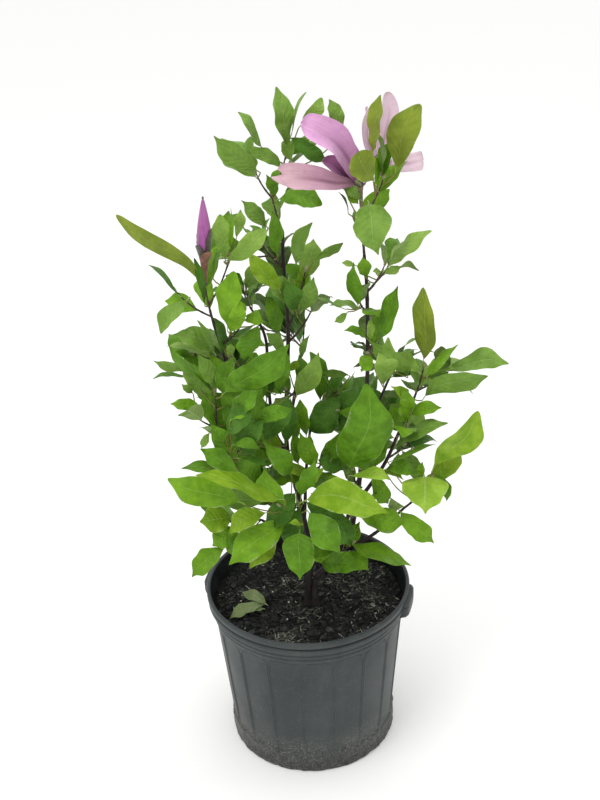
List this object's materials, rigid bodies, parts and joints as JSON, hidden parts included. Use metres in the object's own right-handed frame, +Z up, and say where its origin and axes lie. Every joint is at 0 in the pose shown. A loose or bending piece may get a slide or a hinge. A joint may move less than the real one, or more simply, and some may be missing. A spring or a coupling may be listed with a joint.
{
  "type": "potted alexandrina saucer magnolia",
  "caption": "Young multi-stemmed saucer magnolia in leaf and late flower, growing in a round ribbed nursery pot filled with bark soil.",
  "frame": {"origin": "centre of the pot's flat underside", "axes": "+Z up, the plant's front faces -Y, +X to the right as seen from the front"},
  "size_m": [0.45, 0.3714, 0.911],
  "materials": {
    "pot_plastic": "moulded black nursery plastic, slightly glossy, dusty toward the foot",
    "soil": "damp dark bark chips with light slivers",
    "bark": "smooth dark purplish brown young bark with pale pores",
    "foliage_light": "satin yellow-green young leaf",
    "foliage_mid": "satin mid-green leaf",
    "foliage_dark": "satin deep green leaf",
    "petal_pink": "satin lilac-pink petal, darker toward its base",
    "petal_pale": "satin pale pink petal",
    "bud_purple": "satin purple closed bud"
  },
  "bodies": {
    "root": {"back_bloom": "petal_pale", "back_centre_bough": "bark", "back_centre_leaves": "foliage_dark", "back_crown_leaves": "foliage_dark", "back_leader_leaves": "foliage_dark", "back_left_bough": "bark", "back_left_leaves": "foliage_dark", "back_low_left_bough": "bark", "back_low_left_leaves": "foliage_dark", "back_low_right_bough": "bark", "back_low_right_leaves": "foliage_dark", "back_middle_bough": "bark", "back_middle_leaves": "foliage_dark", "back_right_bough": "bark", "back_right_leaves": "foliage_dark", "back_side_leaves": "foliage_dark", "centre_bough": "bark", "centre_leaves": "foliage_dark", "centre_low_leaves": "foliage_light", "crown_top_leaves": "foliage_mid", "front_bloom": "petal_pink", "front_leaves": "foliage_light", "front_low_right_leaves": "foliage_light", "front_low_stem": "bark", "front_right_leaves": "foliage_light", "left_bud": "bud_purple", "left_foot_leaves": "foliage_light", "left_inner_leaves": "foliage_mid", "left_leader": "bark", "left_low_leaves": "foliage_light", "left_mid_bough": "bark", "left_mid_leaves": "foliage_light", "left_outer_leaves": "foliage_mid", "left_top_leaves": "foliage_mid", "left_upper_leaves": "foliage_mid", "low_leaves": "foliage_light", "low_left_bough": "bark", "low_left_leaves": "foliage_light", "low_right_bough": "bark", "low_right_leaves": "foliage_light", "middle_leader": "bark", "middle_leaves": "foliage_light", "middle_low_leaves": "foliage_light", "middle_right_leaves": "foliage_mid", "middle_upper_leaves": "foliage_mid", "pot": "pot_plastic", "right_bough": "bark", "right_bough_leaves": "foliage_mid", "right_foot_leaves": "foliage_light", "right_fork_leaves": "foliage_light", "right_inner_leaves": "foliage_mid", "right_leader": "bark", "right_low_limb": "bark", "right_lower_leaves": "foliage_dark", "right_middle_leaves": "foliage_light", "right_side_leaves": "foliage_mid", "right_top_leaves": "foliage_light", "right_upper_leaves": "foliage_light", "soil": "soil", "trunk": "bark"}
  },
  "joints": []
}
